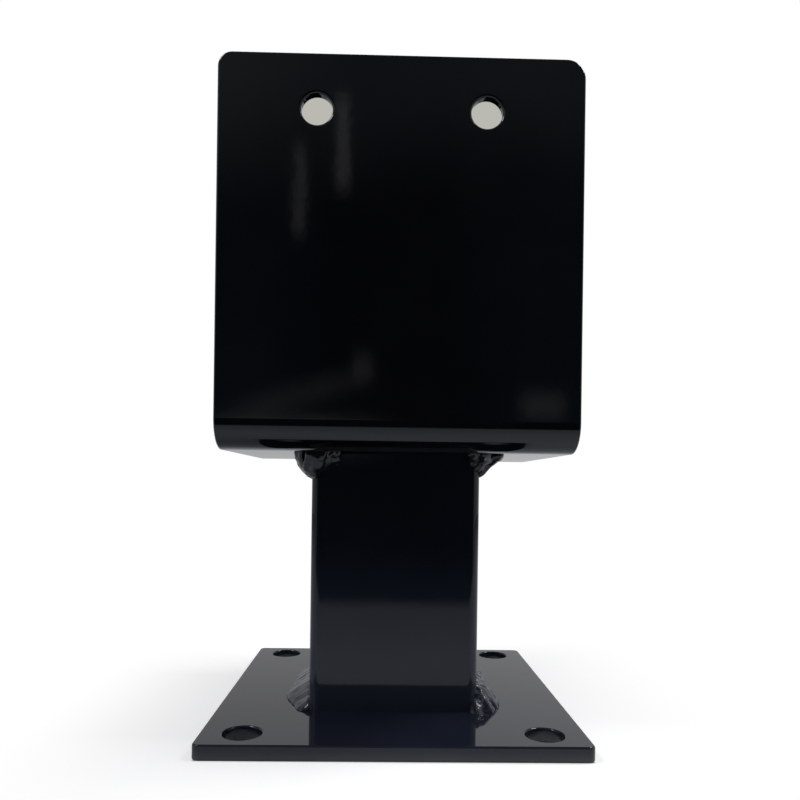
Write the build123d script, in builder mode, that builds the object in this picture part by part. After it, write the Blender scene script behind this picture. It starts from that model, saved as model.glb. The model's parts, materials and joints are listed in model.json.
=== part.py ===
"""Stand-off U saddle bracket: a square foot plate, a square tube post and a folded U saddle, welded together.

Millimetres. The origin is the centre of the foot plate's underside and +Z points up. The channel of the
saddle runs along X, so its two flanges face -Y (front) and +Y (rear).
"""

import os
from math import hypot, isclose, sin

from build123d import *

os.makedirs("parts", exist_ok=True)

# Foot plate
plate_width = 158.75  # along X, 6 1/4 in
plate_depth = 158.75  # along Y
plate_thickness = 6.35  # 1/4 in
plate_corner_radius = 3.0
plate_hole_diameter = 16.0
plate_hole_margin_x = 17.5  # hole centre in from the plate's left and right edges
plate_hole_margin_y = 13.5  # and from its front and rear edges

# Square tube post
tube_size = 76.2  # 3 in
tube_wall = 3.0
tube_corner_radius = 4.8
tube_length = 115.9

# Folded saddle
saddle_length = 152.4  # along the channel, 6 in
saddle_depth = 127.0  # outside, across both flanges, 5 in
saddle_height = 163.5  # outside, from the underside of the web to the flange tops
saddle_thickness = 4.8  # 3/16 in
bend_inner_radius = 8.0
flange_hole_diameter = 13.0
flange_hole_spacing = 70.5
flange_hole_drop = 23.0  # hole centre below the flange top
flange_corner_radius = 4.0
ground_corner_radius = 8.0  # the front flange's right corner is ground back further

# Cut edges are rounded by the grinder and the paint, and drilled holes are deburred
plate_edge_round = 0.8
saddle_edge_round = 1.0
plate_hole_deburr = 0.8
flange_hole_deburr = 1.2

# Weld beads: legs measured away from the tube and along it, and the crown over a flat fillet
upper_leg_out = 9.0
upper_leg_along = 13.0
lower_leg_out = 11.0
lower_leg_along = 12.0
weld_crown = 2.6
ripple_pitch = 5.0  # one ripple to the next, about
ripple_height = 0.6
ripple_lip = 0.7  # length of the steep side of a ripple
ripple_swing = 0.25  # how much the crests differ in height
ripple_rhythm = 2.4  # phase step of that difference, in radians
weld_run_setback = 8.0  # full section ends this far inside the tube's front and rear faces
weld_taper = 4.0  # length over which the section then drops to the end's
weld_end_scale = 0.68  # size of the balls that end the bead, as a share of its section
weld_end_setback = 5.5  # centre of an end ball, inside the tube's face

# Levels, faces and spacings that follow from the sizes above
plate_hole_spacing_x = plate_width - 2 * plate_hole_margin_x
plate_hole_spacing_y = plate_depth - 2 * plate_hole_margin_y
plate_top = plate_thickness
tube_top = plate_top + tube_length
saddle_top = tube_top + saddle_height
tube_face = tube_size / 2
flange_face = saddle_depth / 2
saddle_end = saddle_length / 2


def is_hole_rim(edge):
    """Tell whether an edge runs all the way round a drilled hole."""
    return edge.is_closed


# ---------------------------------------------------------------- foot plate
with BuildPart() as base_plate:
    with BuildSketch():
        RectangleRounded(plate_width, plate_depth, plate_corner_radius)
        with GridLocations(plate_hole_spacing_x, plate_hole_spacing_y, 2, 2):
            Circle(plate_hole_diameter / 2, mode=Mode.SUBTRACT)
    extrude(amount=plate_thickness)
    rims = base_plate.faces().filter_by(Axis.Z).edges()
    hole_rims = rims.filter_by(is_hole_rim)
    chamfer(hole_rims, plate_hole_deburr)
    fillet(rims - hole_rims, plate_edge_round)
base_plate.part.label = "base_plate"


# ---------------------------------------------------------------- square tube
with BuildPart() as post_tube:
    with BuildSketch(Plane.XY.offset(plate_top)):
        RectangleRounded(tube_size, tube_size, tube_corner_radius)
        bore = tube_size - 2 * tube_wall
        RectangleRounded(bore, bore, tube_corner_radius - tube_wall, mode=Mode.SUBTRACT)
    extrude(amount=tube_length)
post_tube.part.label = "post_tube"


# ---------------------------------------------------------------- folded saddle
def is_flange_corner(edge):
    """Tell whether an edge is a still sharp upper corner of a flange."""
    place = edge.center()
    return isclose(abs(place.X), saddle_end) and isclose(place.Z, saddle_top)


with BuildPart() as u_saddle:
    with BuildSketch(Plane.YZ):
        with BuildLine():
            FilletPolyline(
                (-flange_face, saddle_top),
                (-flange_face, tube_top),
                (flange_face, tube_top),
                (flange_face, saddle_top),
                radius=bend_inner_radius + saddle_thickness,
            )
            offset(amount=saddle_thickness, side=Side.LEFT)
        make_face()
    extrude(amount=saddle_end, both=True)

    # Flange corners: the front right one is ground round, the other three only broken
    corners = u_saddle.edges().filter_by(Axis.Y).filter_by(is_flange_corner)
    ground_corner = corners.sort_by(Axis.X)[-2:].sort_by(Axis.Y)[0]
    fillet([edge for edge in corners if edge is not ground_corner], flange_corner_radius)
    fillet(u_saddle.edges().filter_by(Axis.Y).filter_by(is_flange_corner), ground_corner_radius)

    with BuildSketch(Plane.XZ):
        with Locations((0, saddle_top - flange_hole_drop)):
            with GridLocations(flange_hole_spacing, 0, 2, 1):
                Circle(flange_hole_diameter / 2)
    extrude(amount=flange_face, both=True, mode=Mode.SUBTRACT)

    # Every cut edge is rounded: all but the edges through the plate and the ends of the two bends
    chamfer(u_saddle.edges().filter_by(is_hole_rim), flange_hole_deburr)
    through_plate = u_saddle.edges().filter_by(Axis.Y)
    bend_ends = u_saddle.edges().filter_by(Axis.X).filter_by(lambda edge: edge.center().Z < saddle_top)
    hole_edges = u_saddle.edges().filter_by(is_hole_rim)
    fillet(u_saddle.edges() - through_plate - bend_ends - hole_edges, saddle_edge_round)
u_saddle.part.label = "u_saddle"


# ---------------------------------------------------------------- weld beads
def weld_bead(label, side, seat, along, leg_out, leg_along):
    """A rippled weld bead in the corner between one side of the tube and a plate.

    side is the tube's side (-1 left, +1 right), seat the level of the plate's face, and along the way
    from that face along the tube (+1 up, -1 down). The section is an arc round a centre that lies behind
    the corner, so that what shows has the two legs and the crown. A smaller ball at each end wraps the
    tube's corner.
    """
    chord = hypot(leg_out, leg_along)
    radius = (chord**2 / 4 + weld_crown**2) / (2 * weld_crown)
    behind = (radius - weld_crown) / chord
    centre_out = leg_out / 2 - behind * leg_along
    centre_along = leg_along / 2 - behind * leg_out

    run_end = tube_face - weld_run_setback
    ripples = round(2 * run_end / ripple_pitch)
    pitch = 2 * run_end / ripples
    outline = [(-run_end - weld_taper, 0), (-run_end - weld_taper, weld_end_scale * radius)]
    for i in range(ripples):
        valley = -run_end + i * pitch
        crest = radius + ripple_swing * sin(ripple_rhythm * i)
        outline += [(valley, crest - ripple_height), (valley + pitch - ripple_lip, crest)]
    outline += [(run_end, radius), (run_end + weld_taper, weld_end_scale * radius), (run_end + weld_taper, 0)]

    heart = (side * (tube_face + centre_out), 0, seat + along * centre_along)
    with BuildPart() as bead:
        with BuildSketch(Plane(heart, x_dir=(0, 1, 0), z_dir=(1, 0, 0))):
            with BuildLine():
                Polyline(*outline, close=True)
            make_face()
        revolve(axis=Axis(heart, (0, 1, 0)))

        end_out = side * (tube_face + weld_end_scale * centre_out)
        end_place = tube_face - weld_end_setback
        end_up = seat + along * weld_end_scale * centre_along
        with Locations((end_out, -end_place, end_up), (end_out, end_place, end_up)):
            Sphere(weld_end_scale * radius)

        # What lies outside the tube and clear of the plate is the bead
        reach = tube_size + 4 * max(leg_out, leg_along)
        with BuildSketch(Plane.XY.offset(seat)):
            Rectangle(reach, reach)
            RectangleRounded(tube_size, tube_size, tube_corner_radius, mode=Mode.SUBTRACT)
        extrude(amount=along * reach, mode=Mode.INTERSECT)
    bead.part.label = label
    return bead.part


welds = [
    weld_bead("upper_left_weld", -1, tube_top, -1, upper_leg_out, upper_leg_along),
    weld_bead("upper_right_weld", 1, tube_top, -1, upper_leg_out, upper_leg_along),
    weld_bead("lower_left_weld", -1, plate_top, 1, lower_leg_out, lower_leg_along),
    weld_bead("lower_right_weld", 1, plate_top, 1, lower_leg_out, lower_leg_along),
]


# ---------------------------------------------------------------- write the pieces
for piece in [base_plate.part, post_tube.part, u_saddle.part, *welds]:
    export_step(piece, f"parts/{piece.label}.step")
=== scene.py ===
"""Looks of the stand-off U saddle bracket: gloss black paint over welded steel, in a plain studio.

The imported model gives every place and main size. The plate, the tube, the saddle and the weld beads
are modelled again with smooth bends and hand-laid welds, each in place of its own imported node.
Metres, +Z up, with the foot plate standing on Z = 0 and the front flange facing -Y.
"""

import json
import logging
from collections.abc import Callable, Iterator
from contextlib import contextmanager
from dataclasses import dataclass
from enum import Enum
from math import cos, hypot, pi, radians, sin
from random import Random

import bpy
from mathutils import Matrix, Vector

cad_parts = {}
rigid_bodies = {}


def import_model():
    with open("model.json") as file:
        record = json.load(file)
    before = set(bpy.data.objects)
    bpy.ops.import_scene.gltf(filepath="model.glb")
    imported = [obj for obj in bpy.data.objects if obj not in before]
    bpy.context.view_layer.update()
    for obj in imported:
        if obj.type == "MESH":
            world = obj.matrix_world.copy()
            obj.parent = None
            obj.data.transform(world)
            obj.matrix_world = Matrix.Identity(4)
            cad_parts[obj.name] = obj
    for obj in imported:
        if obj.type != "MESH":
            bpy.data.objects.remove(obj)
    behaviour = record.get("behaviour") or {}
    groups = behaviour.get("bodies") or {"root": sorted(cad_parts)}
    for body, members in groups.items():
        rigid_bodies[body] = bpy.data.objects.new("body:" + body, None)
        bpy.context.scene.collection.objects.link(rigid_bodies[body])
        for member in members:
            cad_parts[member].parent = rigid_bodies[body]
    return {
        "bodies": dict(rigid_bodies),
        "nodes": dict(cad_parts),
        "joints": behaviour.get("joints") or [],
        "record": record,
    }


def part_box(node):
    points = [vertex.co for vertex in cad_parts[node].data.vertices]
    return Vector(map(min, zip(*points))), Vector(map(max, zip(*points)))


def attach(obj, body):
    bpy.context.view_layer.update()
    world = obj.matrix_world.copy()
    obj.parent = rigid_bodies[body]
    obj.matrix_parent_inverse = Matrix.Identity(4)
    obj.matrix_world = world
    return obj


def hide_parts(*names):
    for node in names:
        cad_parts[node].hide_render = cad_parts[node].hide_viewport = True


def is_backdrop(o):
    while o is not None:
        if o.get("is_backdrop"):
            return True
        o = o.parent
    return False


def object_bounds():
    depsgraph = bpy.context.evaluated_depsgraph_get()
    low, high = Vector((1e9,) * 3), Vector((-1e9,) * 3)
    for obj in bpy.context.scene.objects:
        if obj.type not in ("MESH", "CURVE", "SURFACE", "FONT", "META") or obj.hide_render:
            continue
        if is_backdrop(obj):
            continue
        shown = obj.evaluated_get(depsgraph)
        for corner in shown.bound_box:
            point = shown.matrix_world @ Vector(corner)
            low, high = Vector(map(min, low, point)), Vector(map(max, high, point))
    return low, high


LOG = logging.getLogger("bracket")
BODY = "root"
MM = 0.001

# Modelling
FLAT_AREA = 300 * MM**2  # a face larger than this is one of a piece's flat sides
FLAT_ANGLE = radians(0.5)  # faces that meet at less than this lie in one plane
SMOOTH_ANGLE = radians(50)  # an edge sharper than this stays an edge
SHARP = 0.5  # faces whose normals have a smaller cosine meet at a sharp edge
ALONG = 0.9  # a direction with a larger share of an axis runs along it
ACROSS = 0.5  # and one with a smaller share runs across it
NEAR = 0.1 * MM  # an edge closer than this to the piece's end lies on it
MERGE_GAP = 0.001 * MM  # vertices closer than this are one
BENCH = 0.1  # half the width of the blocks that trim a bead
CORE_OVERLAP = 30 * MM  # how far the tool that trims a bead runs past the tube's ends
HOLE_SIDES = 72
RIM_REACH = 1.1  # a hole's rim lies within this many of its radii

# Weld puddles, before they are sized: a prism one unit long and one in radius
PUDDLE_SIDES = 8
PUDDLE_SLOPE = 0.3  # vertices further than this from both axes carry the slope
PUDDLE_LEAD = 0.35  # how far they are pushed on along the seam
PUDDLE_ROUND = 0.24  # rounding of the edges
SIZE_SPREAD = (0.95, 1.05)
WANDER_SPREAD = (-0.3, 0.3)  # in millimetres
LEAN_SPREAD = (-0.15, 0.15)
LENGTH_SPREAD = (0.9, 1.15)
HEIGHT_SPREAD = (0.94, 1.04)

# The room, in lengths of a direction over its depth
STRIP_FADE = 0.04
CARD_RIM = (0.045, 0.035)

# Patterns in the paint, in repeats for each metre
CLOUD_SCALE = 24
SPECK_SCALE = 1400
DRIFT_SCALE = 9
# patches of the painted bounce light
PAINTED_LIGHT_SCALE = 60
PEEL_SCALE = 210
SAG_SCALE = 26
LINE_SCALE = 800
LUMP_SCALE = 620

Colour = tuple[float, float, float]
Place = tuple[float, float, float]


# -------- the bench: selecting and shaping
class Element(Enum):
    """What a selection in edit mode picks."""

    VERTEX = "VERT"
    EDGE = "EDGE"
    FACE = "FACE"


@dataclass(frozen=True)
class Spot:
    """Where a vertex, edge or face lies and which way it runs.

    Attributes:
        place: Its centre.
        heading: An edge's direction or a face's or vertex's normal.
        closed: How sharply the faces on both sides of an edge meet, as the cosine of their normals.
        size: A face's area.
    """

    place: Vector
    heading: Vector
    closed: float = 1.0
    size: float = 0.0


def select_none() -> None:
    """Deselect every object."""
    bpy.ops.object.select_all(action="DESELECT")


def work_on(piece: bpy.types.Object) -> None:
    """Make a piece the only selected object and the active one."""
    select_none()
    piece.hide_set(False)
    piece.select_set(True)
    bpy.context.view_layer.objects.active = piece


def spots(mesh: bpy.types.Mesh, element: Element) -> list[Spot]:
    """Describe every vertex, edge or face of a mesh.

    Args:
        mesh: The mesh to read.
        element: Which elements are described.

    Returns:
        One spot for each element, in the mesh's own order.
    """
    if element is Element.VERTEX:
        return [Spot(v.co.copy(), v.normal.copy()) for v in mesh.vertices]
    if element is Element.FACE:
        return [Spot(p.center.copy(), p.normal.copy(), size=p.area) for p in mesh.polygons]
    sides: dict[tuple[int, int], list[Vector]] = {}
    for polygon in mesh.polygons:
        for key in polygon.edge_keys:
            sides.setdefault(key, []).append(polygon.normal)
    found = []
    for edge in mesh.edges:
        a, b = (mesh.vertices[i].co for i in edge.vertices)
        normals = sides.get(tuple(sorted(edge.vertices)), [])
        closed = normals[0].dot(normals[1]) if len(normals) == 2 else 1.0
        found.append(Spot((a + b) / 2, (b - a).normalized(), closed))
    return found


@contextmanager
def editing(
    piece: bpy.types.Object, element: Element, wanted: Callable[[Spot], bool]
) -> Iterator[None]:
    """Open edit mode with only the wanted elements selected, and close it afterwards.

    Args:
        piece: The piece to edit.
        element: Whether vertices, edges or faces are picked.
        wanted: Tells from its spot whether an element is picked.

    Yields:
        Nothing; edit-mode operators run inside the block.
    """
    work_on(piece)
    mesh = piece.data
    for group in (mesh.vertices, mesh.edges, mesh.polygons):
        group.foreach_set("select", [False] * len(group))
    picked = [wanted(spot) for spot in spots(mesh, element)]
    groups = {Element.VERTEX: mesh.vertices, Element.EDGE: mesh.edges, Element.FACE: mesh.polygons}
    groups[element].foreach_set("select", picked)
    if element is not Element.VERTEX:
        members = [item.vertices for item, taken in zip(groups[element], picked) if taken]
        for index in {i for vertices in members for i in vertices}:
            mesh.vertices[index].select = True
    bpy.context.tool_settings.mesh_select_mode = tuple(element is kind for kind in Element)
    bpy.ops.object.mode_set(mode="EDIT")
    try:
        yield
    finally:
        bpy.ops.object.mode_set(mode="OBJECT")


def every(spot: Spot) -> bool:
    """Pick every element."""
    return True


def apply_modifier(piece: bpy.types.Object, kind: str, **settings: object) -> None:
    """Add a modifier to a piece and apply it.

    Args:
        piece: The piece to change.
        kind: The modifier's type.
        **settings: The modifier's own settings.
    """
    work_on(piece)
    modifier = piece.modifiers.new(kind.title(), kind)
    for name, value in settings.items():
        setattr(modifier, name, value)
    bpy.ops.object.modifier_apply(modifier=modifier.name)


def named_after(name: str) -> bpy.types.Object:
    """Name and return the piece that was just added, with its place put into its mesh."""
    bpy.ops.object.transform_apply(location=True, rotation=True, scale=True)
    piece = bpy.context.object
    piece.name = piece.data.name = name
    return piece


def block(name: str, low: Vector, high: Vector) -> bpy.types.Object:
    """Add a rectangular block between its lowest and its highest corner."""
    select_none()
    bpy.ops.mesh.primitive_cube_add(size=1, location=(low + high) / 2, scale=high - low)
    return named_after(name)


def cut_with(piece: bpy.types.Object, tool: bpy.types.Object) -> None:
    """Cut a piece with a closed tool body and take the tool away."""
    apply_modifier(piece, "BOOLEAN", operation="DIFFERENCE", object=tool, solver="EXACT")
    bpy.data.objects.remove(tool)


def drill(
    piece: bpy.types.Object, centre: Vector, axis: Vector, radius: float, depth: float
) -> None:
    """Drill a round hole through a piece.

    Args:
        piece: The piece that is drilled.
        centre: A point on the hole's axis, half way along the drill.
        axis: The drill's direction.
        radius: The hole's radius.
        depth: The drill's length.
    """
    select_none()
    bpy.ops.mesh.primitive_cylinder_add(
        vertices=HOLE_SIDES,
        radius=radius,
        depth=depth,
        location=centre,
        rotation=axis.to_track_quat("Z", "Y").to_euler(),
    )
    cut_with(piece, named_after("drill"))


def round_edges(
    piece: bpy.types.Object, wanted: Callable[[Spot], bool], radius: float, segments: int
) -> None:
    """Round the wanted edges of a piece.

    Args:
        piece: The piece to change.
        wanted: Tells which edges are rounded.
        radius: How far the rounding reaches from the edge.
        segments: Into how many strips it is divided.
    """
    with editing(piece, Element.EDGE, wanted):
        bpy.ops.mesh.bevel(
            offset=radius, segments=segments, loop_slide=False, clamp_overlap=False
        )


def make_sound(piece: bpy.types.Object) -> None:
    """Merge a piece's doubled vertices and turn all its faces outwards."""
    with editing(piece, Element.VERTEX, every):
        bpy.ops.mesh.remove_doubles(threshold=MERGE_GAP)
        bpy.ops.mesh.normals_make_consistent(inside=False)


def smooth_finish(piece: bpy.types.Object) -> None:
    """Shade a piece smooth while its flat faces stay flat.

    Args:
        piece: The piece to shade.
    """
    make_sound(piece)
    bpy.ops.object.shade_smooth_by_angle(angle=SMOOTH_ANGLE)
    apply_modifier(piece, "WEIGHTED_NORMAL", weight=100, keep_sharp=True)
    with editing(piece, Element.FACE, lambda s: s.size > FLAT_AREA):
        bpy.ops.mesh.faces_select_linked_flat(sharpness=FLAT_ANGLE)
        bpy.ops.mesh.set_normals_from_faces(keep_sharp=True)


def install(piece: bpy.types.Object, node: str, finish: bpy.types.Material) -> None:
    """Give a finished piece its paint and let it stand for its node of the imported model.

    Args:
        piece: The finished piece.
        node: The node it stands for.
        finish: The piece's material.
    """
    piece.data.materials.clear()
    piece.data.materials.append(finish)
    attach(piece, BODY)
    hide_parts(node)
    LOG.info("%s: %d faces, stands for %s", piece.name, len(piece.data.polygons), node)


# -------- shader arithmetic
class Wire:
    """A value on its way through a node tree; arithmetic on it adds Math nodes."""

    def __init__(self, sheet: "NodeSheet", socket: bpy.types.NodeSocket) -> None:
        """Hold an output socket and the sheet it is on."""
        self.sheet = sheet
        self.socket = socket

    def __add__(self, other: "Wire | float") -> "Wire":
        """Add a value."""
        return self.sheet.maths("ADD", self, other)

    def __radd__(self, other: "Wire | float") -> "Wire":
        """Be added to a value."""
        return self.sheet.maths("ADD", other, self)

    def __sub__(self, other: "Wire | float") -> "Wire":
        """Take a value away."""
        return self.sheet.maths("SUBTRACT", self, other)

    def __rsub__(self, other: "Wire | float") -> "Wire":
        """Be taken away from a value."""
        return self.sheet.maths("SUBTRACT", other, self)

    def __mul__(self, other: "Wire | float") -> "Wire":
        """Multiply by a value."""
        return self.sheet.maths("MULTIPLY", self, other)

    def __rmul__(self, other: "Wire | float") -> "Wire":
        """Multiply a value."""
        return self.sheet.maths("MULTIPLY", other, self)

    def __truediv__(self, other: "Wire | float") -> "Wire":
        """Divide by a value."""
        return self.sheet.maths("DIVIDE", self, other)

    def __rtruediv__(self, other: "Wire | float") -> "Wire":
        """Divide a value."""
        return self.sheet.maths("DIVIDE", other, self)

    def __neg__(self) -> "Wire":
        """Change the sign."""
        return self.sheet.maths("MULTIPLY", self, -1.0)

    def __abs__(self) -> "Wire":
        """Drop the sign."""
        return self.sheet.maths("ABSOLUTE", self)

    def step(self, start: float, end: float) -> "Wire":
        """Rise smoothly from 0 to 1 between two values.

        Args:
            start: Where the rise starts.
            end: Where it ends; below start, the value falls instead.

        Returns:
            The smooth step.
        """
        low, high = sorted((start, end))
        node = self.sheet.node(
            "ShaderNodeMapRange",
            {"interpolation_type": "SMOOTHSTEP"},
            {"Value": self, "From Min": low, "From Max": high},
        )
        rise = Wire(self.sheet, node.outputs["Result"])
        return rise if start < end else 1.0 - rise


class NodeSheet:
    """A material's or world's node tree, with short ways to add nodes to it."""

    def __init__(self, tree: bpy.types.NodeTree) -> None:
        """Start from an empty tree."""
        self.tree = tree
        tree.nodes.clear()

    def node(
        self,
        kind: str,
        settings: dict[str, object] | None = None,
        inputs: "dict[str | int, object] | None" = None,
    ) -> bpy.types.Node:
        """Add a node.

        Args:
            kind: The node's type.
            settings: Its own settings, set before its sockets.
            inputs: Values, wires or sockets for its inputs, by name or number.

        Returns:
            The new node.
        """
        node = self.tree.nodes.new(kind)
        for name, value in (settings or {}).items():
            setattr(node, name, value)
        for key, value in (inputs or {}).items():
            target = node.inputs[key]
            source = value.socket if isinstance(value, Wire) else value
            if isinstance(source, bpy.types.NodeSocket):
                self.tree.links.new(source, target)
            else:
                target.default_value = source
        return node

    def maths(self, operation: str, *values: "Wire | float") -> Wire:
        """Feed one or two wires or numbers to a Math node and return its result."""
        node = self.node("ShaderNodeMath", {"operation": operation}, dict(enumerate(values)))
        return Wire(self, node.outputs[0])

    def stretch(self, place: bpy.types.NodeSocket, scale: Place) -> bpy.types.NodeSocket:
        """Scale the coordinates that a pattern reads along the three axes."""
        node = self.node("ShaderNodeMapping", {}, {"Vector": place, "Scale": scale})
        return node.outputs["Vector"]

    def axes(self, place: bpy.types.NodeSocket) -> tuple[Wire, Wire, Wire]:
        """Split coordinates into X, Y and Z."""
        outputs = self.node("ShaderNodeSeparateXYZ", {}, {0: place}).outputs
        return Wire(self, outputs["X"]), Wire(self, outputs["Y"]), Wire(self, outputs["Z"])

    def noise(
        self, place: bpy.types.NodeSocket, scale: float, detail: float, roughness: float = 0.5
    ) -> Wire:
        """Add a cloudy pattern.

        Args:
            place: The coordinates it reads.
            scale: Clouds for each unit of the coordinates.
            detail: How many finer octaves it has.
            roughness: How strong the finer octaves are.

        Returns:
            The pattern, around a half.
        """
        inputs = {"Vector": place, "Scale": scale, "Detail": detail, "Roughness": roughness}
        return Wire(self, self.node("ShaderNodeTexNoise", {}, inputs).outputs["Fac"])

    def blend(
        self, share: "Wire | float", first: "Colour | bpy.types.NodeSocket", second: Colour
    ) -> bpy.types.NodeSocket:
        """Blend two colours.

        Args:
            share: How much of the second colour shows.
            first: The colour at 0, given or already blended.
            second: The colour at 1.

        Returns:
            The blended colour.
        """
        start = first if isinstance(first, bpy.types.NodeSocket) else (*first, 1.0)
        node = self.node(
            "ShaderNodeMix", {"data_type": "RGBA"}, {"Factor": share, 6: start, 7: (*second, 1.0)}
        )
        return node.outputs[2]


# -------- finishes
class Grain(Enum):
    """Which way the fine lines of the steel under the paint run."""

    NONE = (1.0, 1.0, 1.0)
    ALONG_Z = (1.0, 1.0, 0.02)


@dataclass(frozen=True)
class GlossPaint:
    """Gloss black paint, sprayed over steel.

    Attributes:
        name: The material's name.
        deep: The paint's colour where it lies thick.
        thin: Its colour where it lies thin.
        gloss: Roughness of the clean film.
        haze: How much rougher the film is where overspray settled.
        peel: Height of the orange peel.
        sag: Height of the long, slow waves of the sheet.
        grain: Which way the steel's fine lines run.
        grain_height: Height of those lines.
        lumps: Height of the coarse grain on welds.
        ior: How strongly the film mirrors.
        painted_light_colour: The paler, bluer colour that light is painted in with: low on a piece
            the film is lifted towards it in patches, as painted bounce light.
        painted_light_top: Level above which no light is painted.
        painted_light_full: Level below which the painted light is strongest.
    """

    name: str
    deep: Colour = (0.0016, 0.0020, 0.0030)
    thin: Colour = (0.0034, 0.0038, 0.0050)
    gloss: float = 0.045
    haze: float = 0.05
    peel: float = 0.009 * MM
    sag: float = 0.05 * MM
    grain: Grain = Grain.NONE
    grain_height: float = 0.0
    lumps: float = 0.0
    ior: float = 1.47
    # Painted bounce light: low on a piece the film is lifted towards this paler, bluer colour,
    # strongest near the foot.
    painted_light_colour: Colour = (0.027, 0.033, 0.050)
    painted_light_top: float = 90 * MM
    painted_light_full: float = 10 * MM

    def make(self) -> bpy.types.Material:
        """Make the material."""
        material = bpy.data.materials.new(self.name)
        material.use_nodes = True
        sheet = NodeSheet(material.node_tree)
        place = sheet.node("ShaderNodeTexCoord").outputs["Object"]
        shade = self.film(sheet, place)
        sheet.node("ShaderNodeOutputMaterial", {}, {"Surface": shade.outputs[0]})
        return material

    def film(self, sheet: NodeSheet, place: bpy.types.NodeSocket) -> bpy.types.Node:
        """Add the film's shader with its colour, gloss and relief.

        Args:
            sheet: The material's sheet.
            place: The coordinates that the patterns read.

        Returns:
            The shader node.
        """
        clouds = sheet.noise(place, CLOUD_SCALE, 4, 0.6)
        overspray = sheet.noise(place, SPECK_SCALE, 1).step(0.60, 0.78)
        drift = sheet.noise(place, DRIFT_SCALE, 2).step(0.40, 0.70)
        roughness = self.gloss + self.haze * (0.35 * drift + 0.65 * overspray * drift)
        # Painted bounce light: a patchy share of the paler colour, growing towards the foot.
        level = sheet.axes(place)[2]
        patches = 0.8 + 0.4 * sheet.noise(place, PAINTED_LIGHT_SCALE, 3)
        painted_light = level.step(self.painted_light_top, self.painted_light_full) * patches
        film = sheet.blend(clouds.step(0.35, 0.68), self.deep, self.thin)
        inputs = {
            "Base Color": sheet.blend(painted_light, film, self.painted_light_colour),
            "Roughness": roughness,
            "Metallic": 0.0,
            "IOR": self.ior,
            "Normal": self.relief(sheet, place),
        }
        return sheet.node("ShaderNodeBsdfPrincipled", {}, inputs)

    def relief(self, sheet: NodeSheet, place: bpy.types.NodeSocket) -> bpy.types.NodeSocket:
        """Add the film's orange peel, the sheet's slow waves and the steel's own lines.

        Args:
            sheet: The material's sheet.
            place: The coordinates that the patterns read.

        Returns:
            The normal to feed the shader.
        """
        height = sheet.noise(place, PEEL_SCALE, 2) * self.peel
        height = height + sheet.noise(place, SAG_SCALE, 1) * self.sag
        if self.grain is not Grain.NONE:
            lines = sheet.noise(sheet.stretch(place, self.grain.value), LINE_SCALE, 2, 0.6)
            height = height + lines * self.grain_height
        if self.lumps:
            height = height + sheet.noise(place, LUMP_SCALE, 3, 0.6) * self.lumps
        inputs = {"Height": height / MM, "Distance": MM, "Strength": 1.0}
        bump = sheet.node("ShaderNodeBump", {}, inputs)
        return bump.outputs["Normal"]


# -------- the bracket's pieces
@dataclass
class FootPlate:
    """The square foot plate with its four bolt holes.

    Attributes:
        low: Its lowest corner.
        high: Its highest corner.
        hole_spacing: Bolt hole centres along X and Y.
        hole_radius: Radius of the bolt holes.
        corner_radius: Rounding of the four upright corners.
        edge_round: Rounding of the outline's edges.
        deburr: Rounding of the hole rims.
    """

    low: Vector
    high: Vector
    hole_spacing: tuple[float, float]
    hole_radius: float
    corner_radius: float = 3 * MM
    edge_round: float = 0.8 * MM
    deburr: float = 0.8 * MM

    def build(self) -> bpy.types.Object:
        """Model the plate."""
        plate = block("foot_plate", self.low, self.high)
        round_edges(plate, lambda s: abs(s.heading.z) > ALONG, self.corner_radius, 12)
        depth = 3 * (self.high.z - self.low.z)
        for centre in self.hole_centres():
            drill(plate, centre, Vector((0, 0, 1)), self.hole_radius, depth)
        round_edges(plate, self.is_hole_rim, self.deburr, 4)
        round_edges(plate, self.is_outline, self.edge_round, 6)
        smooth_finish(plate)
        return plate

    def hole_centres(self) -> list[Vector]:
        """Return the centres of the four bolt holes, half way through the plate."""
        middle = (self.low + self.high) / 2
        across, along = (spacing / 2 for spacing in self.hole_spacing)
        return [middle + Vector((x, y, 0)) for x in (-across, across) for y in (-along, along)]

    def is_hole_rim(self, spot: Spot) -> bool:
        """Tell whether an edge lies on the rim of a bolt hole."""
        reach = RIM_REACH * self.hole_radius
        if spot.closed > SHARP or abs(spot.heading.z) > ACROSS:
            return False
        return any((spot.place - centre).xy.length < reach for centre in self.hole_centres())

    def is_outline(self, spot: Spot) -> bool:
        """Tell whether an edge is a sharp one on the plate's outline."""
        return spot.closed < SHARP and abs(spot.heading.z) < ACROSS


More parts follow.
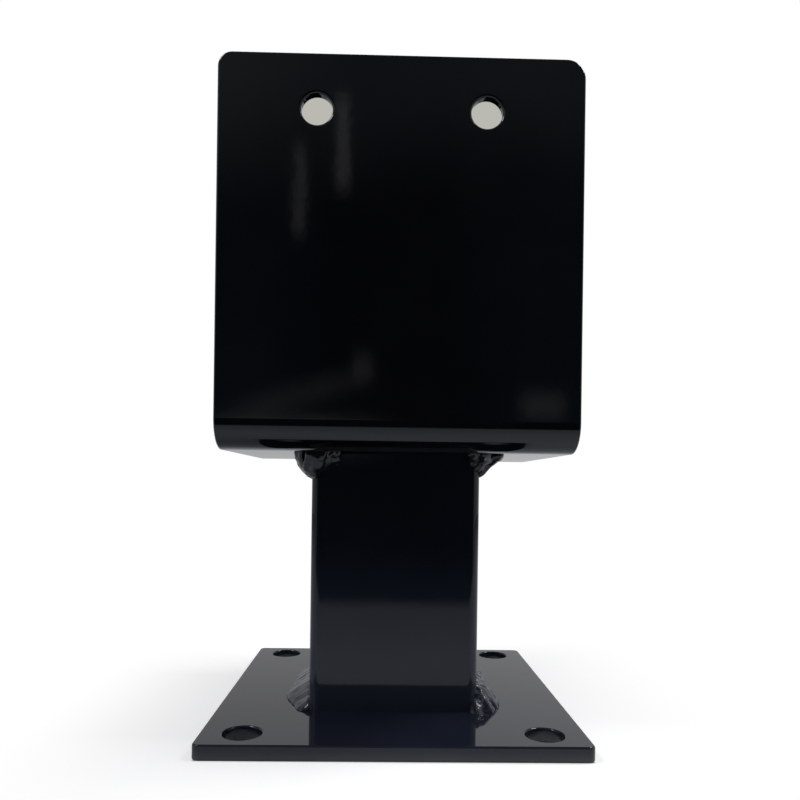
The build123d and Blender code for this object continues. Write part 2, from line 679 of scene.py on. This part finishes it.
@dataclass
class TubePost:
    """The square tube that carries the saddle.

    Attributes:
        low: Its lowest corner.
        high: Its highest corner.
        wall: Thickness of the tube's wall.
        corner_radius: Outer rounding of the tube's corners.
    """

    low: Vector
    high: Vector
    wall: float = 3 * MM
    corner_radius: float = 4.8 * MM

    def outline(self, name: str, overlap: float = 0.0) -> bpy.types.Object:
        """Draw the tube up as a solid prism with rounded corners.

        Args:
            name: The prism's name.
            overlap: How far the prism is longer than the tube at both ends.

        Returns:
            The prism.
        """
        size = self.high.x - self.low.x
        floor = self.low.z - overlap
        select_none()
        bpy.ops.mesh.primitive_plane_add(size=size, location=(0, 0, floor))
        prism = named_after(name)
        with editing(prism, Element.VERTEX, every):
            bpy.ops.mesh.bevel(offset=self.corner_radius, affect="VERTICES", segments=14)
        with editing(prism, Element.FACE, every):
            rise = (0, 0, self.high.z + overlap - floor)
            bpy.ops.mesh.extrude_region_move(TRANSFORM_OT_translate={"value": rise})
        with editing(prism, Element.VERTEX, every):
            bpy.ops.mesh.normals_make_consistent(inside=False)
        return prism

    def build(self) -> bpy.types.Object:
        """Model the tube, open at both ends."""
        tube = self.outline("tube_post")
        with editing(tube, Element.FACE, lambda s: abs(s.heading.z) > ALONG):
            bpy.ops.mesh.delete(type="FACE")
        apply_modifier(tube, "SOLIDIFY", thickness=self.wall, offset=-1.0, use_even_offset=True)
        smooth_finish(tube)
        return tube


@dataclass
class FoldedSaddle:
    """The U saddle, folded from one strip of plate.

    Attributes:
        low: Its lowest corner.
        high: Its highest corner.
        thickness: The plate's thickness.
        hole_spacing: Centres of the two holes in each flange.
        hole_radius: Their radius.
        hole_level: Their height.
        bend_inner_radius: Inner radius of the two bends.
        corner_radius: Rounding of the two rear flange corners.
        left_radius: Rounding of the front left corner.
        ground_radius: Rounding of the front right corner, which is ground back furthest.
        edge_round: Rounding of the cut edges.
        deburr: Rounding of the hole rims.
        bend_steps: Strips in each bend.
    """

    low: Vector
    high: Vector
    thickness: float
    hole_spacing: float
    hole_radius: float
    hole_level: float
    bend_inner_radius: float = 8 * MM
    corner_radius: float = 4 * MM
    left_radius: float = 6 * MM
    ground_radius: float = 8 * MM
    edge_round: float = 1.0 * MM
    deburr: float = 1.2 * MM
    bend_steps: int = 20

    def build(self) -> bpy.types.Object:
        """Model the saddle: fold the strip, trim its corners, drill it and break its edges."""
        saddle = self.folded_strip()
        round_edges(saddle, self.is_rear_corner, self.corner_radius, 8)
        round_edges(saddle, self.is_left_corner, self.left_radius, 10)
        round_edges(saddle, self.is_ground_corner, self.ground_radius, 12)
        depth = 2 * (self.high.y - self.low.y)
        for x in (-self.hole_spacing / 2, self.hole_spacing / 2):
            centre = Vector((x, 0, self.hole_level))
            drill(saddle, centre, Vector((0, 1, 0)), self.hole_radius, depth)
        round_edges(saddle, self.is_hole_rim, self.deburr, 4)
        round_edges(saddle, lambda s: s.closed < SHARP, self.edge_round, 5)
        smooth_finish(saddle)
        return saddle

    def folded_strip(self) -> bpy.types.Object:
        """Fold the strip down the front flange, across the web and up the rear flange."""
        outer = self.bend_inner_radius + self.thickness
        bend_level = self.low.z + outer
        length = self.high.x - self.low.x
        start = Vector((0, self.low.y + self.thickness / 2, self.high.z))
        select_none()
        bpy.ops.mesh.primitive_plane_add(size=1, location=start)
        bpy.context.object.scale = (length, self.thickness, 1)
        strip = named_after("folded_saddle")
        with editing(strip, Element.FACE, every):
            self.push(Vector((0, 0, bend_level - self.high.z)))
            self.fold(Vector((0, self.low.y + outer, bend_level)))
            self.push(Vector((0, self.high.y - self.low.y - 2 * outer, 0)))
            self.fold(Vector((0, self.high.y - outer, bend_level)))
            self.push(Vector((0, 0, self.high.z - bend_level)))
        make_sound(strip)
        return strip

    @staticmethod
    def push(way: Vector) -> None:
        """Push the strip's end face on in a straight line."""
        bpy.ops.mesh.extrude_region_move(TRANSFORM_OT_translate={"value": way})

    def fold(self, axis_point: Vector) -> None:
        """Turn the strip's end face a quarter turn round the bend's axis."""
        bpy.ops.mesh.spin(steps=self.bend_steps, angle=-pi / 2, center=axis_point, axis=(1, 0, 0))

    def at_flange_top(self, spot: Spot) -> bool:
        """Tell whether an edge through the plate is one of the sharp upper corners."""
        at_end = abs(abs(spot.place.x) - self.high.x) < NEAR
        at_top = abs(spot.place.z - self.high.z) < NEAR
        return at_end and at_top and abs(spot.heading.y) > ALONG

    def is_ground_corner(self, spot: Spot) -> bool:
        """Tell whether an edge is the front right corner."""
        return self.at_flange_top(spot) and spot.place.x > 0 and spot.place.y < 0

    def is_left_corner(self, spot: Spot) -> bool:
        """Tell whether an edge is the front left corner."""
        return self.at_flange_top(spot) and spot.place.x < 0 and spot.place.y < 0

    def is_rear_corner(self, spot: Spot) -> bool:
        """Tell whether an edge is one of the two rear corners."""
        return self.at_flange_top(spot) and spot.place.y > 0

    def is_hole_rim(self, spot: Spot) -> bool:
        """Tell whether an edge lies on the rim of a flange hole."""
        if spot.closed > SHARP or abs(spot.heading.y) > ACROSS:
            return False
        off_axis = hypot(abs(spot.place.x) - self.hole_spacing / 2, spot.place.z - self.hole_level)
        return off_axis < RIM_REACH * self.hole_radius


@dataclass
class WeldBead:
    """One hand-laid weld bead in the corner between a side of the tube and a plate.

    The bead is a row of overlapping puddles along the tube's outline: round its front corner, along
    its side and round its rear corner.

    Attributes:
        name: The bead's name.
        side: -1 for the tube's left side, 1 for its right.
        seat: Level of the plate's face.
        along: 1 where the tube stands on the plate, -1 where it hangs from it.
        leg_out: Leg over the plate.
        leg_along: Leg over the tube.
        post: The tube.
        front_wrap: How far the bead runs on along the tube's front face.
        rear_wrap: How far it runs on along the rear face.
        crown: How far the bead stands over a flat fillet.
        pitch: From one puddle to the next, about.
        overlap: Length of a puddle, as a share of the pitch.
        lean: How far the puddles lean back, in radians.
        end_size: Size of the bead's ends, as a share of its section.
        rear_size: Size of the section at the rear, as a share of that in front.
        melt: How far the puddles have run together.
        lump_size: Size of the random lumps.
        lump_height: How far they stand out or sink in, crest to hollow.
        end_run: Length over which the section grows from the end's to the full one.
        fineness: Size of the mesh's faces.
        seed: Seed of the small differences between puddles.
    """

    name: str
    side: int
    seat: float
    along: int
    leg_out: float
    leg_along: float
    post: TubePost
    front_wrap: float
    rear_wrap: float
    crown: float = 1.0 * MM
    pitch: float = 2.8 * MM
    overlap: float = 1.7
    lean: float = 0.25
    end_size: float = 0.55
    rear_size: float = 1.0
    melt: int = 8
    lump_size: float = 3.4 * MM
    lump_height: float = 1.2 * MM
    end_run: float = 6.0 * MM
    fineness: float = 0.42 * MM
    seed: int = 1

    def build(self) -> bpy.types.Object:
        """Model the bead, trimmed to the tube and the plate."""
        bead = self.lay_puddles()
        self.melt_together(bead, self.melt)
        lumps = bpy.data.textures.new(f"{self.name}_lumps", "CLOUDS")
        lumps.noise_scale = self.lump_size
        lumps.noise_depth = 2
        apply_modifier(
            bead, "DISPLACE", texture=lumps, texture_coords="LOCAL", strength=self.lump_height
        )
        bpy.data.textures.remove(lumps)
        self.melt_together(bead, self.melt // 2)
        near, far = sorted((self.seat, self.seat - self.along * BENCH))
        low, high = Vector((-BENCH, -BENCH, near)), Vector((BENCH, BENCH, far))
        cut_with(bead, block("beyond_seat", low, high))
        cut_with(bead, self.post.outline("tube_core", overlap=CORE_OVERLAP))
        make_sound(bead)
        bpy.ops.object.shade_smooth_by_angle(angle=SMOOTH_ANGLE)
        return bead

    def melt_together(self, bead: bpy.types.Object, rounds: int) -> None:
        """Make one clean skin over all that overlaps, and smooth it so many rounds."""
        apply_modifier(bead, "REMESH", mode="VOXEL", voxel_size=self.fineness)
        apply_modifier(bead, "SMOOTH", factor=0.5, iterations=rounds)

    def lay_puddles(self) -> bpy.types.Object:
        """Lay the row of puddles in one mesh, still overlapping."""
        chance = Random(self.seed)
        self.add_puddle()
        puddle = bpy.context.object
        base = puddle.data.copy()
        puddle.data.transform(self.puddle_place(0.0, chance))
        length = self.path_length()
        count = round(length / self.pitch)
        copies = [puddle]
        for i in range(1, count + 1):
            copy = bpy.data.objects.new(f"{self.name}_{i}", base.copy())
            bpy.context.scene.collection.objects.link(copy)
            copy.data.transform(self.puddle_place(i / count, chance))
            copies.append(copy)
        select_none()
        for copy in copies:
            copy.select_set(True)
        bpy.context.view_layer.objects.active = puddle
        bpy.ops.object.join()
        bpy.data.meshes.remove(base)
        return puddle

    def add_puddle(self) -> None:
        """Add one puddle at the origin: a short prism along the seam with a bowed slope."""
        select_none()
        bpy.ops.mesh.primitive_cylinder_add(
            vertices=PUDDLE_SIDES, radius=1.0, depth=1.0, rotation=(pi / 2, 0, 0)
        )
        puddle = named_after(self.name)
        chord = hypot(self.leg_out, self.leg_along)
        bow = 0.5 + self.crown * chord / (2 * self.leg_out * self.leg_along)
        stretch = bow / cos(pi / 4)
        with editing(
            puddle, Element.VERTEX, lambda s: min(abs(s.place.x), abs(s.place.z)) > PUDDLE_SLOPE
        ):
            bpy.ops.transform.resize(value=(stretch, 1, stretch), center_override=(0, 0, 0))
            bpy.ops.transform.translate(value=(0, PUDDLE_LEAD, 0))
        with editing(puddle, Element.EDGE, every):
            bpy.ops.mesh.bevel(offset=PUDDLE_ROUND, segments=5, profile=0.5, clamp_overlap=True)

    def path_length(self) -> float:
        """Return the bead's length along the tube's outline."""
        straight = self.post.high.y - self.post.low.y - 2 * self.post.corner_radius
        return self.front_wrap + self.rear_wrap + straight + pi * self.post.corner_radius

    def path_point(self, run: float) -> tuple[Vector, Vector]:
        """Follow the tube's outline from the front wrap to the rear one.

        Args:
            run: Length from the start of the bead.

        Returns:
            The point on the outline and the outward direction there, on the tube's right side.
        """
        radius = self.post.corner_radius
        face = self.post.high.x
        straight = 2 * (face - radius)
        corner = pi / 2 * radius
        run -= self.front_wrap
        if run < 0:
            return Vector((face - radius + run, -face, 0)), Vector((0, -1, 0))
        if run < corner:
            turn = run / radius
            way = Vector((sin(turn), -cos(turn), 0))
            return Vector((face - radius, radius - face, 0)) + radius * way, way
        run -= corner
        if run < straight:
            return Vector((face, radius - face + run, 0)), Vector((1, 0, 0))
        run -= straight
        if run < corner:
            turn = run / radius
            way = Vector((cos(turn), sin(turn), 0))
            return Vector((face - radius, face - radius, 0)) + radius * way, way
        return Vector((face - radius - (run - corner), face, 0)), Vector((0, 1, 0))

    def puddle_place(self, share: float, chance: Random) -> Matrix:
        """Work out how a puddle at the origin is sized, turned and moved to its place.

        Args:
            share: How far along the bead the puddle lies, from 0 to 1.
            chance: The source of small differences.

        Returns:
            The puddle's matrix.
        """
        run = share * self.path_length()
        point, way = self.path_point(run)
        end = min(run, self.path_length() - run) / self.end_run
        size = (self.end_size + (1 - self.end_size) * min(1.0, end)) * chance.uniform(*SIZE_SPREAD)
        size *= 1 + (self.rear_size - 1) * share
        wander = chance.uniform(*WANDER_SPREAD) * MM
        centre = point + wander * way + Vector((0, 0, self.seat))
        heading = Vector((-way.y, way.x, 0))
        frame = Matrix((way, heading, Vector((0, 0, 1)))).transposed().to_4x4()
        lean = Matrix.Rotation(self.lean + chance.uniform(*LEAN_SPREAD), 4, "X")
        if self.along > 0:
            lean = lean.inverted()
        length = self.overlap * self.pitch * chance.uniform(*LENGTH_SPREAD)
        rise = self.leg_along * size * chance.uniform(*HEIGHT_SPREAD)
        legs = (self.leg_out * size, length, rise, 1)
        placed = Matrix.Translation(centre) @ frame @ lean @ Matrix.Diagonal(legs)
        mirror = Matrix.Diagonal((self.side, 1, 1, 1))
        return mirror @ placed


@dataclass
class Bracket:
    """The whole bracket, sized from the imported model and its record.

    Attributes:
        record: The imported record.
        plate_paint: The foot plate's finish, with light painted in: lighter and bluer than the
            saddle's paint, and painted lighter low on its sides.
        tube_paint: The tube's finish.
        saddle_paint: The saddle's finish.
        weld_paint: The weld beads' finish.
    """

    record: dict
    # Painted light: the plate's paint is a lighter, bluer copy of the saddle's gloss black, standing
    # in for the bluish light round the foot, and its sides are painted lighter towards the floor.
    plate_paint: GlossPaint = GlossPaint(
        "plate_paint",
        deep=(0.0105, 0.0135, 0.0235),
        thin=(0.0135, 0.0165, 0.0275),
        painted_light_colour=(0.060, 0.062, 0.068),
        painted_light_top=5.2 * MM,
        painted_light_full=0.0,
    )
    # The tube and the welds on the foot plate keep the default painted bounce light, which lightens
    # their paint towards the foot.
    tube_paint: GlossPaint = GlossPaint(
        "tube_paint",
        deep=(0.0028, 0.0048, 0.0082),
        thin=(0.0045, 0.0065, 0.0108),
        grain=Grain.ALONG_Z,
        grain_height=0.0012 * MM,
        ior=1.38,
    )
    saddle_paint: GlossPaint = GlossPaint("saddle_paint")
    weld_paint: GlossPaint = GlossPaint(
        "weld_paint", gloss=0.22, haze=0.18, peel=0.02 * MM, lumps=0.03 * MM
    )

    def mount(self, name: str) -> dict:
        """Return one of the record's mounts by name."""
        return next(m for m in self.record["mounts"] if m["name"] == name)

    def build(self) -> None:
        """Model, paint and install every piece."""
        foot = self.mount("foot_bolts")["dims"]
        plate = FootPlate(
            *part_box("base_plate"),
            hole_spacing=(foot["spacing_x_mm"] * MM, foot["spacing_y_mm"] * MM),
            hole_radius=foot["hole_r_mm"] * MM,
        )
        install(plate.build(), "base_plate", self.plate_paint.make())

        post = TubePost(*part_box("post_tube"))
        install(post.build(), "post_tube", self.tube_paint.make())

        flange = self.mount("front_flange_bolts")
        low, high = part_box("u_saddle")
        saddle = FoldedSaddle(
            low,
            high,
            thickness=self.mount("saddle_floor")["pos_m"][2] - low.z,
            hole_spacing=flange["dims"]["spacing_x_mm"] * MM,
            hole_radius=flange["dims"]["hole_r_mm"] * MM,
            hole_level=flange["pos_m"][2],
        )
        install(saddle.build(), "u_saddle", self.saddle_paint.make())

        weld_finish = self.weld_paint.make()
        for bead in self.beads(post):
            install(bead.build(), bead.name.replace("bead", "weld"), weld_finish)

    @staticmethod
    def beads(post: TubePost) -> list[WeldBead]:
        """List the beads along the tube, two under the saddle and two on the foot plate."""
        upper = {"seat": post.high.z, "along": -1, "post": post}
        lower = {"seat": post.low.z, "along": 1, "post": post}
        return [
            WeldBead(
                "upper_left_bead",
                -1,
                leg_out=9 * MM,
                leg_along=13 * MM,
                front_wrap=7 * MM,
                rear_wrap=2 * MM,
                crown=1.6 * MM,
                lump_height=1.5 * MM,
                seed=3,
                **upper,
            ),
            WeldBead(
                "upper_right_bead",
                1,
                leg_out=13 * MM,
                leg_along=11.5 * MM,
                front_wrap=0.5 * MM,
                rear_wrap=3 * MM,
                crown=-0.8 * MM,
                lump_height=1.1 * MM,
                seed=5,
                **upper,
            ),
            WeldBead(
                "lower_left_bead",
                -1,
                leg_out=15 * MM,
                leg_along=9.5 * MM,
                front_wrap=-5 * MM,
                rear_wrap=2 * MM,
                crown=-0.3 * MM,
                pitch=1.4 * MM,
                overlap=4.2,
                end_size=0.4,
                end_run=18 * MM,
                rear_size=0.7,
                melt=20,
                lump_size=4.5 * MM,
                lump_height=0.6 * MM,
                seed=8,
                **lower,
            ),
            WeldBead(
                "lower_right_bead",
                1,
                leg_out=12.5 * MM,
                leg_along=12 * MM,
                front_wrap=-2.5 * MM,
                rear_wrap=1 * MM,
                crown=1.0 * MM,
                rear_size=0.85,
                melt=12,
                lump_size=2.6 * MM,
                lump_height=1.8 * MM,
                seed=21,
                **lower,
            ),
        ]


# -------- the studio
@dataclass(frozen=True)
class Glow:
    """A slim, dim light strip far off in the dark part of the room.

    Attributes:
        bearing: Its sideways direction, as X over -Y.
        width: Its half width, in the same measure.
        low: Its lower end, as the direction's height over -Y.
        high: Its upper end, in the same measure.
        strength: How bright it is.
        rise: How steeply it rises to the right.
    """

    bearing: float
    width: float
    low: float
    high: float
    strength: float
    rise: float = 0.0


@dataclass(frozen=True)
class Softbox:
    """A square, soft lamp overhead.

    Attributes:
        name: The lamp's name.
        place: Where it hangs.
        size: Its side.
        power: Its power in watts.
    """

    name: str
    place: Place
    size: float
    power: float

    def hang(self) -> None:
        """Hang the lamp, turned to the bracket's foot."""
        data = bpy.data.lights.new(self.name, "AREA")
        data.shape = "SQUARE"
        data.size = self.size
        data.energy = self.power
        lamp = bpy.data.objects.new(self.name, data)
        lamp.location = self.place
        lamp.rotation_euler = (-Vector(self.place)).to_track_quat("-Z", "Y").to_euler()
        lamp.visible_camera = False
        bpy.context.scene.collection.objects.link(lamp)


@dataclass
class Studio:
    """A pale floor and backdrop, a dark room behind the camera and soft lamps overhead.

    Attributes:
        stand: The bracket's box, whose foot shades the floor under it.
        floor_front: How far the pale floor reaches in front of the origin.
        floor_full: Up to where it is fully pale there.
        floor_near: How bright the mirrored floor is more than 0.30 m in front, as a share of the
            rest: painted shade where the camera stands over it.
        floor_reach: How far it reaches to the other sides.
        floor_colour: The floor's own colour.
        floor_mirrored: The floor's colour where the paint mirrors it.
        floor_lift: What is added to the floor where it is seen, so that it shows white.
        shadow_reach: How far the bracket's soft shadow shows round its foot.
        backdrop_left: Brightness of the backdrop's left part.
        backdrop_right: Brightness of its right part.
        dark: The colour of the dark room.
        ceiling: How much paler the dark room is overhead.
        corners: How much paler it is overhead to both sides.
        dusk: Strength of the bluish light to both sides.
        dusk_colour: Its colour.
        card: Colour of the grey card far behind the saddle.
        card_spots: Where the card hangs, as X and Z over Y.
        lamps: The soft lamps.
        glows: Dim strips in the dark room.
    """

    stand: tuple[Vector, Vector]
    floor_front: float = 0.394
    floor_full: float = 0.312
    floor_near: float = 0.76
    floor_reach: float = 2.0
    floor_colour: float = 0.72
    floor_mirrored: Colour = (0.84, 0.87, 0.94)
    floor_lift: float = 0.50
    shadow_reach: float = 85 * MM
    backdrop_left: float = 0.47
    backdrop_right: float = 0.57
    dark: Colour = (0.018, 0.021, 0.028)
    ceiling: float = 0.07
    corners: float = 0.055
    dusk: float = 0.045
    dusk_colour: Colour = (0.35, 0.7, 1.0)
    card: Colour = (0.49, 0.49, 0.445)
    card_spots: tuple[tuple[float, float], ...] = ((-0.102, 0.543), (0.144, 0.540))
    lamps: tuple[Softbox, ...] = (
        Softbox("right_softbox", (0.80, 0.05, 1.20), 0.40, 9.0),
        Softbox("left_softbox", (-0.75, -0.20, 1.20), 0.35, 5.0),
    )
    glows: tuple[Glow, ...] = (
        Glow(-0.124, 0.0075, 0.34, 0.51, 0.30),
        Glow(-0.062, 0.009, 0.41, 0.58, 0.35),
        Glow(0.235, 0.030, 0.08, 0.155, 0.22),
        Glow(-0.030, 0.014, 0.13, 0.21, 0.14),
        Glow(-0.120, 0.085, 0.09, 0.165, 0.12, 0.30),
        Glow(-0.130, 0.110, 0.02, 0.115, 0.25),
    )

    def build(self) -> None:
        """Set up the floor, the room, the lamps and the picture's tone."""
        self.lay_floor()
        self.paint_room()
        for lamp in self.lamps:
            lamp.hang()
        bpy.context.scene.view_settings.view_transform = "Standard"
        LOG.info("studio: %d lamps", len(self.lamps))

    def lay_floor(self) -> None:
        """Lay the floor, which shows white but keeps the bracket's shadow."""
        depth = self.floor_front + self.floor_reach
        select_none()
        bpy.ops.mesh.primitive_plane_add(size=1, location=(0, depth / 2 - self.floor_front, 0))
        bpy.context.object.scale = (2 * self.floor_reach, depth, 1)
        floor = named_after("floor")
        material = bpy.data.materials.new("pale_floor")
        material.use_nodes = True
        sheet = NodeSheet(material.node_tree)
        light = sheet.node("ShaderNodeLightPath")
        seen = Wire(sheet, light.outputs["Is Camera Ray"])
        seen = seen + Wire(sheet, light.outputs["Is Transmission Ray"])
        mirrored = Wire(sheet, light.outputs["Is Glossy Ray"])
        place = sheet.node("ShaderNodeTexCoord").outputs["Object"]
        x, y, _ = sheet.axes(place)
        low, high = self.stand
        off = sheet.maths("MAXIMUM", abs(x) - high.x, abs(y) - high.y)
        far = off.step(2 * MM, self.shadow_reach)
        under = 1.0
        for way, start, end in ((x, low.x, high.x), (y, low.y, high.y)):
            under = under * way.step(start, start + MM) * way.step(end, end - MM)
        fade = y.step(-self.floor_front, -self.floor_full)
        # Painted shade: in reflections the floor is dimmer more than 0.30 m in front, where the
        # camera stands over it.
        fade = fade * (self.floor_near + (1 - self.floor_near) * y.step(-0.30, -0.12))
        shade = sheet.blend(fade, self.dark, self.floor_mirrored)
        colour = sheet.blend(1.0 - mirrored, shade, (self.floor_colour,) * 3)
        paper = sheet.node("ShaderNodeBsdfDiffuse", {}, {"Color": colour})
        glow = sheet.blend(seen * (1.0 - under), (0.0, 0.0, 0.0), (self.floor_lift,) * 3)
        lift = sheet.node("ShaderNodeEmission", {}, {"Color": glow, "Strength": 1.0})
        lit = sheet.node("ShaderNodeAddShader", {}, {0: paper.outputs[0], 1: lift.outputs[0]})
        white = sheet.node("ShaderNodeEmission", {}, {"Strength": 1.0})
        shown = sheet.node(
            "ShaderNodeMixShader", {}, {0: far * seen, 1: lit.outputs[0], 2: white.outputs[0]}
        )
        sheet.node("ShaderNodeOutputMaterial", {}, {"Surface": shown.outputs[0]})
        floor.data.materials.append(material)
        floor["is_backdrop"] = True

    def paint_room(self) -> None:
        """Paint the room: white where it is seen, pale behind the bracket and dark in front."""
        world = bpy.data.worlds.new("room")
        bpy.context.scene.world = world
        world.use_nodes = True
        sheet = NodeSheet(world.node_tree)
        way = sheet.node("ShaderNodeTexCoord").outputs["Generated"]
        x, y, z = sheet.axes(way)
        brighter = self.backdrop_right - self.backdrop_left
        backdrop = self.backdrop_left + brighter * x.step(-0.30, 0.40)
        pale = y.step(-0.70, -0.42) * (1.0 - 0.9 * z.step(0.45, 0.80)) * backdrop
        ahead = -y
        front = ahead.step(0.2, 0.4)
        bearing, level = x / ahead, z / ahead
        for glow in self.glows:
            away = bearing - glow.bearing
            across = abs(away).step(glow.width * 1.6, glow.width * 0.4)
            height = level - away * glow.rise
            upright = height.step(glow.low, glow.low + STRIP_FADE)
            upright = upright * height.step(glow.high, glow.high - STRIP_FADE)
            pale = pale + glow.strength * across * upright * front
        sides = abs(bearing - 0.02).step(0.05, 0.27)
        pale = pale + front * level.step(0.36, 0.62) * (
            self.ceiling + self.corners * sides * (1.0 - 2.7 * bearing)
        )
        low_sides = sides * level.step(0.55, 0.30) * level.step(0.0, 0.08)
        blue = self.dusk * front * (low_sides + level.step(0.42, 0.60))
        dark = sheet.node("ShaderNodeBackground", {}, {"Color": (*self.dark, 1), "Strength": 1.0})
        bright = sheet.node("ShaderNodeBackground", {}, {"Color": (1, 1, 1, 1), "Strength": pale})
        inputs = {"Color": (*self.dusk_colour, 1), "Strength": blue}
        evening = sheet.node("ShaderNodeBackground", {}, inputs)
        lamps = sheet.node("ShaderNodeAddShader", {}, {0: dark.outputs[0], 1: bright.outputs[0]})
        room = sheet.node("ShaderNodeAddShader", {}, {0: lamps.outputs[0], 1: evening.outputs[0]})
        behind = y.step(0.2, 0.4)
        card = 0.0
        for across, up in self.card_spots:
            side, rise = x / y - across, z / y - up
            off = sheet.maths("SQRT", side * side + rise * rise)
            card = card + behind * off.step(*CARD_RIM)
        seen = sheet.node("ShaderNodeLightPath")
        backing = sheet.blend(card, (1.0, 1.0, 1.0), self.card)
        white = sheet.node("ShaderNodeBackground", {}, {"Color": backing, "Strength": 1.0})
        shown = sheet.node(
            "ShaderNodeMixShader",
            {},
            {0: seen.outputs["Is Camera Ray"], 1: room.outputs[0], 2: white.outputs[0]},
        )
        sheet.node("ShaderNodeOutputWorld", {}, {"Surface": shown.outputs[0]})


@dataclass(frozen=True)
class Viewpoint:
    """The camera.

    Attributes:
        place: Where it stands.
        turn: How far it is turned to the right, in radians.
        tilt: How far it leans over to the left, in radians.
        lens: Focal length in millimetres on the 36 mm sensor.
        shift: The lens shift, sideways and up.
    """

    place: Place = (-6.8 * MM, -346.7 * MM, 108.4 * MM)
    turn: float = 0.0186
    tilt: float = 0.0135
    lens: float = 30.9
    shift: tuple[float, float] = (0.008, 0.1054)

    def set_up(self) -> None:
        """Set up the camera and make it the scene's own."""
        data = bpy.data.cameras.new("camera")
        data.sensor_width = 36
        data.lens = self.lens
        data.shift_x, data.shift_y = self.shift
        data.clip_start = 0.01
        camera = bpy.data.objects.new("camera", data)
        bpy.context.scene.collection.objects.link(camera)
        level = Matrix.Rotation(-self.turn, 4, "Z") @ Matrix.Rotation(pi / 2, 4, "X")
        tilt = Matrix.Rotation(self.tilt, 4, "Z")
        camera.matrix_world = Matrix.Translation(self.place) @ level @ tilt
        bpy.context.scene.camera = camera


def main() -> None:
    """Build the bracket, the studio and the camera."""
    logging.basicConfig(level=logging.INFO, format="%(name)s: %(message)s")
    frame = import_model()
    cad_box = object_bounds()
    Bracket(frame["record"]).build()
    Studio(cad_box).build()
    Viewpoint().set_up()


if __name__ == "__main__":
    main()
